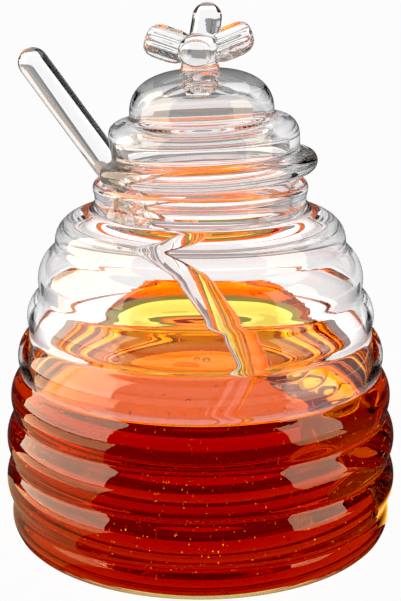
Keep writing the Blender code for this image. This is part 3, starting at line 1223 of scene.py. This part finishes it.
@dataclass
class Bee:
    """The bee on the lid, drawn out of soft glass: a body, a head, a raised abdomen and two wings."""

    dome_top: float = 26.2
    foot_radius: float = 7.0
    foot_sink: float = 2.4
    foot_waist: float = 4.6
    foot_rise: float = 1.2
    foot_head: float = 3.6
    foot_turn: float = 268.0
    foot_segments: int = 12
    foot_steps: int = 64
    body_at: tuple[float, float, float] = (0.0, -0.6, 30.6)
    body_half: tuple[float, float, float] = (5.3, 5.8, 4.2)
    turn: float = 8.0
    head_at: tuple[float, float, float] = (0.0, -6.0, 30.4)
    head_half: tuple[float, float, float] = (4.0, 2.6, 3.4)
    abdomen_radius: float = 3.7
    abdomen_from: tuple[float, float, float] = (0.8, 1.6, 32.0)
    abdomen_to: tuple[float, float, float] = (1.5, 6.0, 38.2)
    wing_half: tuple[float, float, float] = (5.6, 4.6, 2.7)
    wing_power: float = 3.4
    wing_out: float = 7.9
    wing_back: float = 0.4
    wing_height: float = 32.4
    wing_tilt: float = 20.0
    wing_pitch: float = 38.0
    wing_grooves: float = 3.0
    groove_spread: float = 1.15
    groove_depth: float = 0.32
    groove_fade: int = 4
    lump_segments: tuple[int, int] = (64, 40)
    capsule_segments: tuple[int, int] = (48, 32)
    voxel: float = 0.25
    polish_share: float = 0.5
    polish_rounds: int = 6

    def lump(
        self, half: tuple[float, float, float], place: Matrix, power: float = 2.0, grooved: bool = False
    ) -> bmesh.types.BMesh:
        """Make a rounded lump.

        Args:
            half: Its half sizes.
            place: Where it goes, in millimetres.
            power: 2 for an ellipsoid, more for a squarer slab.
            grooved: Whether grooves run along its flat sides.

        Returns:
            A bmesh of it.
        """
        work = bmesh.new()
        around, up = self.lump_segments
        bmesh.ops.create_uvsphere(work, u_segments=around, v_segments=up, radius=1.0)
        for vert in work.verts:
            x, y, z = vert.co
            size = (abs(x) ** power + abs(y) ** power + abs(z) ** power) ** (1 / power)
            x, y, z = x / size, y / size, z / size
            if grooved:
                dent = 0.5 + 0.5 * math.cos(math.pi * self.wing_grooves * y * self.groove_spread)
                z *= 1 - self.groove_depth * dent * max(0.0, 1 - abs(x) ** self.groove_fade)
            vert.co = place @ Vector((x * half[0], y * half[1], z * half[2]))
        return work

    def capsule(self, start: Vector, end: Vector, radius: float) -> bmesh.types.BMesh:
        """Make a round-ended rod.

        Args:
            start: The middle of its one round end.
            end: The middle of the other.
            radius: Its radius.

        Returns:
            A bmesh of it.
        """
        way = end - start
        work = bmesh.new()
        around, up = self.capsule_segments
        bmesh.ops.create_uvsphere(work, u_segments=around, v_segments=up, radius=radius)
        for vert in work.verts:
            if vert.co.z > 0:
                vert.co.z += way.length
        spin = way.to_track_quat("Z", "Y").to_matrix().to_4x4()
        bmesh.ops.transform(work, matrix=Matrix.Translation(start) @ spin, verts=work.verts)
        return work

    def build(self, lathe: Lathe, finish: bpy.types.Material) -> bpy.types.Object:
        """Make the bee and its foot as one soft lump of glass.

        Args:
            lathe: What turns the foot.
            finish: Its glass.

        Returns:
            The knob in the lid's frame.
        """
        lumps = [
            self.lump(self.body_half, Matrix.Translation(self.body_at)),
            self.lump(self.head_half, Matrix.Translation(self.head_at)),
            self.capsule(Vector(self.abdomen_from), Vector(self.abdomen_to), self.abdomen_radius),
        ]
        for side in (-1, 1):
            spin = Matrix.Rotation(math.radians(-side * self.wing_tilt), 4, "Y")
            spin = spin @ Matrix.Rotation(math.radians(self.wing_pitch), 4, "X")
            place = Matrix.Translation((side * self.wing_out, self.wing_back, self.wing_height)) @ spin
            lumps.append(self.lump(self.wing_half, place, self.wing_power, True))
        whole = bmesh.new()
        for work in lumps:
            mesh = bpy.data.meshes.new("lump")
            work.to_mesh(mesh)
            work.free()
            whole.from_mesh(mesh)
            bpy.data.meshes.remove(mesh)
        bmesh.ops.transform(
            whole,
            matrix=Matrix.Rotation(math.radians(-self.turn), 4, "Z") @ Matrix.Scale(MM, 4),
            verts=whole.verts,
        )
        waist = self.dome_top + self.foot_rise
        top = self.body_at[2]
        bottom = self.dome_top - self.foot_sink
        fillet = (self.foot_radius - self.foot_waist, 2 * self.foot_rise)
        outline = [(0.0, top), (self.foot_head, top - self.foot_rise)]
        outline.append((self.foot_waist, waist + self.foot_rise))
        outline += ellipse((self.foot_radius, waist), fillet, 180, self.foot_turn, self.foot_segments)
        outline += [(outline[-1][0], bottom), (0.0, bottom)]
        foot = faces_out(lathe.turn("foot", outline, self.foot_steps, finish))
        whole.from_mesh(foot.data)
        bpy.data.objects.remove(foot)
        mesh = bpy.data.meshes.new("glass_bee")
        whole.to_mesh(mesh)
        whole.free()
        mesh.materials.append(finish)
        source = linked("glass_bee_lumps", mesh)
        melt = source.modifiers.new("Melt", "REMESH")
        melt.mode = "VOXEL"
        melt.voxel_size = self.voxel * MM
        melt.use_smooth_shade = True
        polish = source.modifiers.new("Polish", "SMOOTH")
        polish.factor = self.polish_share
        polish.iterations = self.polish_rounds
        return plain_mesh(source, "glass_bee")


@dataclass
class Lid:
    """The pressed lid: a flange on the lip, a ring, a dome, a plug in the neck and the dipper's notch."""

    jar: Jar
    bee: Bee = field(default_factory=Bee)
    shift: float = 1.0
    tilt: float = 2.5
    gap: float = 0.3
    flange_radius: float = 28.5
    flange_top: float = 5.2
    flange_fillet: float = 0.5
    ring_radius: float = 24.2
    ring_wall_top: float = 9.6
    ring_top: float = 14.4
    ring_round: float = 4.8
    dome_radius: float = 18.1
    dome_bottom: float = 14.8
    dome_top: float = 26.2
    dome_power: float = 2.6
    plug_radius: float = 23.7
    plug_depth: float = 11.4
    plug_round: float = 0.8
    bore: float = 21.7
    ceiling: float = 11.6
    ceiling_round: float = 2.0
    dome_bore: float = 16.2
    dome_bore_top: float = 22.6
    dome_bore_start: float = 14.0
    dome_bore_flare: float = 0.8
    notch_height: float = 1.5
    notch_throat: float = 6.8
    notch_throat_at: float = 19.0
    notch_inner_at: float = 16.0
    notch_outer_at: float = 32.0
    slot_half: float = 5.6
    slot_from: float = -27.0
    slot_to: float = -14.0
    clearance: float = 2.0
    pitch: float = 0.4
    passes: int = 3
    dome_steps: int = 30
    ring_steps: int = 14
    flange_steps: int = 24
    bore_steps: int = 26
    notch_steps: int = 96
    steps: int = 192
    smooth_to: float = 40.0

    def outline(self) -> list[Point]:
        """From the top of the dome down outside, and up again inside."""
        half = (self.dome_radius, self.dome_top - self.dome_bottom)
        points = ellipse((0.0, self.dome_bottom), half, 90, 0, self.dome_steps, self.dome_power)
        points[0] = (0.0, self.dome_top)
        centre = (self.ring_radius - self.ring_round, self.ring_wall_top)
        half = (self.ring_round, self.ring_top - self.ring_wall_top)
        points += ellipse(centre, half, 90, 0, self.ring_steps)
        points.append((self.ring_radius, self.flange_top + self.flange_fillet))
        flange = self.flange_top / 2
        centre = (self.flange_radius - flange, flange)
        points += ellipse(centre, (flange, flange), 90, -90, self.flange_steps)
        plug_edge = self.plug_round - self.plug_depth
        points += [(self.plug_radius, 0.0), (self.plug_radius, plug_edge)]
        points += [(self.plug_radius - self.plug_round, -self.plug_depth)]
        points += [(self.bore, plug_edge), (self.bore, self.ceiling - self.ceiling_round)]
        points += [(self.bore - self.ceiling_round, self.ceiling)]
        points += [(self.dome_bore + self.dome_bore_flare, self.ceiling + self.dome_bore_flare)]
        half = (self.dome_bore, self.dome_bore_top - self.dome_bore_start)
        points += ellipse((0.0, self.dome_bore_start), half, 0, 90, self.bore_steps, self.dome_power)
        points[-1] = (0.0, self.dome_bore_top)
        return softened(points, self.pitch, self.passes)

    def place(self) -> Matrix:
        """Where the lid rests: shifted and tilted, on the jar's lip."""
        tilt = math.radians(self.tilt)
        rest = self.jar.lip_top + self.gap + (self.jar.lip_radius + self.shift) * math.sin(tilt)
        return Matrix.Translation((self.shift * MM, 0.0, rest * MM)) @ Matrix.Rotation(-tilt, 4, "Y")

    def notch(self) -> list[bpy.types.Object]:
        """The notch's cutters: a cone that flares outwards, and a slot down through the plug."""
        length = self.notch_outer_at - self.notch_inner_at
        middle = (self.notch_outer_at + self.notch_inner_at) / 2
        lying = Matrix.Rotation(-math.pi / 2, 4, "Y")
        cone = bmesh.new()
        bmesh.ops.create_cone(
            cone,
            cap_ends=True,
            segments=self.notch_steps,
            radius1=(self.notch_throat + self.notch_inner_at - self.notch_throat_at) * MM,
            radius2=(self.notch_throat + self.notch_outer_at - self.notch_throat_at) * MM,
            depth=length * MM,
            matrix=Matrix.Translation((-middle * MM, 0.0, self.notch_height * MM)) @ lying,
        )
        slot = bmesh.new()
        low = Vector((self.slot_from, -self.slot_half, -self.plug_depth - self.clearance)) * MM
        high = Vector((self.slot_to, self.slot_half, self.notch_height)) * MM
        stretch = Matrix.Diagonal((*(high - low), 1.0))
        bmesh.ops.create_cube(slot, size=1.0, matrix=Matrix.Translation((low + high) / 2) @ stretch)
        cutters = []
        for name, work in (("notch_flare", cone), ("notch_slot", slot)):
            mesh = bpy.data.meshes.new(name)
            work.to_mesh(mesh)
            work.free()
            cutters.append(faces_out(linked(name, mesh)))
        return cutters

    def build(self, lathe: Lathe, finish: bpy.types.Material) -> bpy.types.Object:
        """Make the lid with its bee.

        Args:
            lathe: What turns its outline.
            finish: Its glass.

        Returns:
            The lid.
        """
        lid = faces_out(lathe.turn("glass_lid", self.outline(), self.steps, finish))
        joined(lid, Join.ADD, self.bee.build(lathe, finish))
        for cutter in self.notch():
            joined(lid, Join.CUT, cutter)
        lid.data.transform(self.place())
        edges_at(lid, self.smooth_to)
        dress(lid, Slot.LID, "lid")
        return lid


class Seen(Enum):
    """How a card is seen."""

    MIRRORED = "mirrored by the glass and the honey"
    THROUGH = "through the glass and the honey"


class Light(Enum):
    """The colours of the cards' light."""

    WHITE = "#FFFFFF"
    WARM = "#FFE9C8"
    SANDY = "#FFCF9C"
    AMBER = "#FFA848"


@dataclass(frozen=True)
class Card:
    """A soft box, a white panel or a black card of the studio, bent round the jar's axis.

    It runs from one ring to another, so it stands where the rings have one radius, and lies where they have
    one height. Its glow fades from the one to the other. The camera doesn't see it: the glass and the honey
    do.
    """

    STEP: ClassVar[float] = 6.0
    name: str
    seen: Seen
    glow: tuple[float, float]
    turns: tuple[float, float]
    low: Point
    high: Point
    light: Light = Light.WHITE

    def build(self) -> None:
        """Hang the card."""
        mesh = bpy.data.meshes.new(self.name)
        start, end = self.turns
        count = round((end - start) / self.STEP) + 1
        verts = []
        for radius, height in (self.low, self.high):
            for step in range(count):
                turn = math.radians(start + (end - start) * step / (count - 1))
                verts.append((radius * MM * math.sin(turn), radius * MM * math.cos(turn), height * MM))
        faces = [(i, i + 1, count + i + 1, count + i) for i in range(count - 1)]
        mesh.from_pydata(verts, [], faces)
        glow = mesh.attributes.new(CardFinish.GLOW, "FLOAT", "POINT")
        glow.data.foreach_set("value", [value for value in self.glow for _ in range(count)])
        mesh.materials.append(CardFinish(self.name, self.light.value).build())
        card = linked(self.name, mesh)
        card.visible_camera = False
        card.visible_diffuse = False
        card.visible_shadow = False
        card.visible_volume_scatter = False
        card.visible_glossy = self.seen is Seen.MIRRORED
        card.visible_transmission = self.seen is Seen.THROUGH


@dataclass
class Studio:
    """The floor, the lights and the camera, set up as for glassware.

    The table is lit from below under the jar and behind it. Black walls and black cards beside that light
    draw dark lines along the glass's edges. A large soft box on the left, a smaller one on the right and
    the table that they and the honey light show on the ribs as pale and amber patches.
    """

    camera_at: tuple[float, float, float] = (0.0, -338.0, 150.0)
    camera_pitch: float = 14.9
    focal_px: float = 1356.0
    frame_height_px: float = 601.0
    sensor: float = 36.0
    floor_half: float = 4000.0
    floor_drop: float = 0.05
    floor_colour: str = "#808080"
    floor_glow: float = 0.96
    bounces: int = 32
    mirror_bounces: int = 16
    black_level: float = 0.01
    sky: tuple[tuple[float, float], ...] = (
        (0.0, 0.2),
        (5.0, 0.3),
        (9.0, 0.78),
        (34.0, 0.95),
        (40.0, 0.25),
        (58.0, 0.15),
        (90.0, 0.10),
    )
    mirrored_sky: float = 0.03
    cards: tuple[Card, ...] = (
        Card(
            "left soft box", Seen.MIRRORED, glow=(5.5, 5.0), turns=(-128.0, -58.0),
            low=(600.0, 0.0), high=(600.0, 800.0), light=Light.WARM,
        ),
        Card(
            "left table card", Seen.MIRRORED, glow=(4.0, 4.0), turns=(-135.0, -70.0),
            low=(110.0, 0.5), high=(400.0, 0.5), light=Light.SANDY,
        ),
        Card(
            "left near table", Seen.MIRRORED, glow=(0.5, 1.2), turns=(-135.0, -66.0),
            low=(50.5, 0.5), high=(110.0, 0.5), light=Light.SANDY,
        ),
        Card(
            "right soft box", Seen.MIRRORED, glow=(4.0, 4.0), turns=(94.0, 130.0),
            low=(600.0, 0.0), high=(600.0, 560.0), light=Light.WARM,
        ),
        Card(
            "right table card", Seen.MIRRORED, glow=(3.5, 3.5), turns=(98.0, 130.0),
            low=(160.0, 0.5), high=(600.0, 0.5), light=Light.SANDY,
        ),
        Card(
            "right ceiling box", Seen.MIRRORED, glow=(2.5, 2.5), turns=(30.0, 100.0),
            low=(600.0, 620.0), high=(300.0, 1000.0),
        ),
        Card(
            "mirrored table", Seen.MIRRORED, glow=(0.05, 0.05), turns=ALL_ROUND,
            low=(53.0, 0.2), high=(3900.0, 0.2),
        ),
        Card(
            "honey's light on the table", Seen.MIRRORED, glow=(4.0, 0.0), turns=(-66.0, 98.0),
            low=(50.5, 0.4), high=(66.0, 0.4), light=Light.AMBER,
        ),
        Card(
            "table in the jar's light", Seen.THROUGH, glow=(1.0, 0.45), turns=ALL_ROUND,
            low=(50.0, 0.0), high=(80.0, 0.0),
        ),
        Card(
            "table in the jar's shade", Seen.THROUGH, glow=(0.32, 0.32), turns=ALL_ROUND,
            low=(80.0, 0.0), high=(172.0, 0.0),
        ),
        Card(
            "grey card behind", Seen.THROUGH, glow=(0.32, 0.32), turns=(-12.0, 12.0),
            low=(200.0, 116.0), high=(200.0, 160.0),
        ),
        Card(
            "left black wall", Seen.THROUGH, glow=(0.0, 0.0), turns=(-120.0, -50.0),
            low=(600.0, 0.0), high=(600.0, 560.0),
        ),
        Card(
            "right black wall", Seen.THROUGH, glow=(0.0, 0.0), turns=(50.0, 120.0),
            low=(600.0, 0.0), high=(600.0, 560.0),
        ),
        Card(
            "left black card", Seen.THROUGH, glow=(0.0, 0.0), turns=(-95.0, -34.0),
            low=(110.0, 0.1), high=(420.0, 0.1),
        ),
        Card(
            "right black card", Seen.THROUGH, glow=(0.0, 0.0), turns=(34.0, 95.0),
            low=(110.0, 0.1), high=(420.0, 0.1),
        ),
        Card(
            "lit table behind", Seen.THROUGH, glow=(1.5, 1.2), turns=(-34.0, 34.0),
            low=(172.0, 0.1), high=(290.0, 0.1),
        ),
        Card(
            "lamp under the jar", Seen.THROUGH, glow=(1.55, 1.6), turns=ALL_ROUND,
            low=(0.5, -0.02), high=(26.0, -0.02),
        ),
        Card(
            "lamp under the jar's rim", Seen.THROUGH, glow=(1.6, 4.2), turns=ALL_ROUND,
            low=(26.0, -0.02), high=(48.0, -0.02),
        ),
    )

    def camera(self) -> None:
        """The camera at the photograph's viewing angle."""
        data = bpy.data.cameras.new("camera")
        data.sensor_width = self.sensor
        data.lens = self.focal_px * self.sensor / self.frame_height_px
        made = bpy.data.objects.new("camera", data)
        made.location = Vector(self.camera_at) * MM
        made.rotation_euler = (math.radians(90 - self.camera_pitch), 0.0, 0.0)
        bpy.context.scene.collection.objects.link(made)
        bpy.context.scene.camera = made

    def floor(self) -> None:
        """The pale floor."""
        work = bmesh.new()
        bmesh.ops.create_grid(work, x_segments=1, y_segments=1, size=self.floor_half * MM)
        mesh = bpy.data.meshes.new("floor")
        work.to_mesh(mesh)
        work.free()
        mesh.transform(Matrix.Translation((0.0, 0.0, -self.floor_drop * MM)))
        mesh.materials.append(PaleFloor("white matt table", self.floor_colour, self.floor_glow).build())
        floor = linked("floor", mesh)
        floor.visible_glossy = False

    def world(self) -> None:
        """A sky in bands of height: dim at the table's edge, then a lit wall, and dark overhead.

        Skins mirror only a trace of it, and the camera sees plain white past the floor.
        """
        world = bpy.data.worlds.new("studio")
        world.use_nodes = True
        tree = world.node_tree
        tree.nodes.clear()
        place = add_node(tree, "ShaderNodeTexCoord")
        apart = add_node(tree, "ShaderNodeSeparateXYZ", inputs={"Vector": place.outputs["Generated"]})
        rise = add_node(tree, "ShaderNodeMath", {"operation": "ARCSINE"}, {0: apart.outputs["Z"]})
        share = add_node(
            tree, "ShaderNodeMath", {"operation": "DIVIDE"}, {0: rise.outputs[0], 1: math.pi / 2}
        )
        bands = add_node(tree, "ShaderNodeFloatCurve", inputs={"Value": share.outputs[0]})
        curve = bands.mapping.curves[0]
        top = max(value for _, value in self.sky)
        highest = self.sky[-1][0]
        for index, (height, value) in enumerate(self.sky):
            spot = (height / highest, value / top)
            if index in (0, len(self.sky) - 1):
                curve.points[-1 if index else 0].location = spot
            else:
                curve.points.new(*spot)
        for point in curve.points:
            point.handle_type = "VECTOR"
        bands.mapping.update()
        glow = add_node(
            tree, "ShaderNodeMath", {"operation": "MULTIPLY"}, {0: bands.outputs[0], 1: top}
        )
        ray = add_node(tree, "ShaderNodeLightPath")
        mirrored = add_node(
            tree,
            "ShaderNodeMix",
            {"data_type": "FLOAT"},
            {"Factor": ray.outputs["Is Reflection Ray"], "A": glow.outputs[0], "B": self.mirrored_sky},
        )
        seen = add_node(
            tree,
            "ShaderNodeMix",
            {"data_type": "FLOAT"},
            {"Factor": ray.outputs["Is Camera Ray"], "A": mirrored.outputs["Result"], "B": 1.0},
        )
        sky = add_node(
            tree,
            "ShaderNodeBackground",
            inputs={"Color": (1.0, 1.0, 1.0, 1.0), "Strength": seen.outputs["Result"]},
        )
        add_node(tree, "ShaderNodeOutputWorld", inputs={"Surface": sky.outputs["Background"]})
        bpy.context.scene.world = world

    def build(self) -> None:
        """Make the studio."""
        self.camera()
        self.floor()
        for card in self.cards:
            card.build()
        self.world()
        scene = bpy.context.scene
        scene.view_settings.view_transform = "Standard"
        scene.view_settings.use_curve_mapping = True
        contrast = scene.view_settings.curve_mapping
        contrast.black_level = (self.black_level, self.black_level, self.black_level)
        contrast.update()
        scene.cycles.max_bounces = self.bounces
        scene.cycles.transmission_bounces = self.bounces
        scene.cycles.glossy_bounces = self.mirror_bounces


def main() -> None:
    """Build the pieces in order, then the studio."""
    logging.basicConfig(level=logging.INFO, format="%(message)s")
    lathe = Lathe()
    jar_glass = ClearGlass("blown clear glass", ior=1.5, wave_mm=22.0, wave_height_mm=0.03).build()
    lid_glass = ClearGlass("pressed clear glass", ior=1.5, wave_mm=9.0, wave_height_mm=0.02).build()
    rod_glass = ClearGlass("drawn clear glass", ior=1.47, wave_mm=14.0, wave_height_mm=0.01).build()
    wet_jar_glass = ClearGlass("blown clear glass wet with honey", ior=1.007, wave_mm=22.0).build()
    wet_rod_glass = ClearGlass("drawn clear glass wet with honey", ior=1.16).build()
    clear_honey = ClearHoney("clear amber honey").build()
    air = FineBubble("air bubble in honey").build()
    jar = Jar()
    dipper = Dipper()
    honey = Honey(jar)
    jar.build(lathe, jar_glass, wet_jar_glass, honey.edge_height)
    honey.build(lathe, dipper, clear_honey)
    bubbles = Bubbles()
    bubbles.fine(dipper, air)
    bubbles.under_surface(lathe, honey.level, air)
    dipper.build(lathe, rod_glass, wet_rod_glass, honey.level)
    Lid(jar).build(lathe, lid_glass)
    Studio().build()


if __name__ == "__main__":
    main()
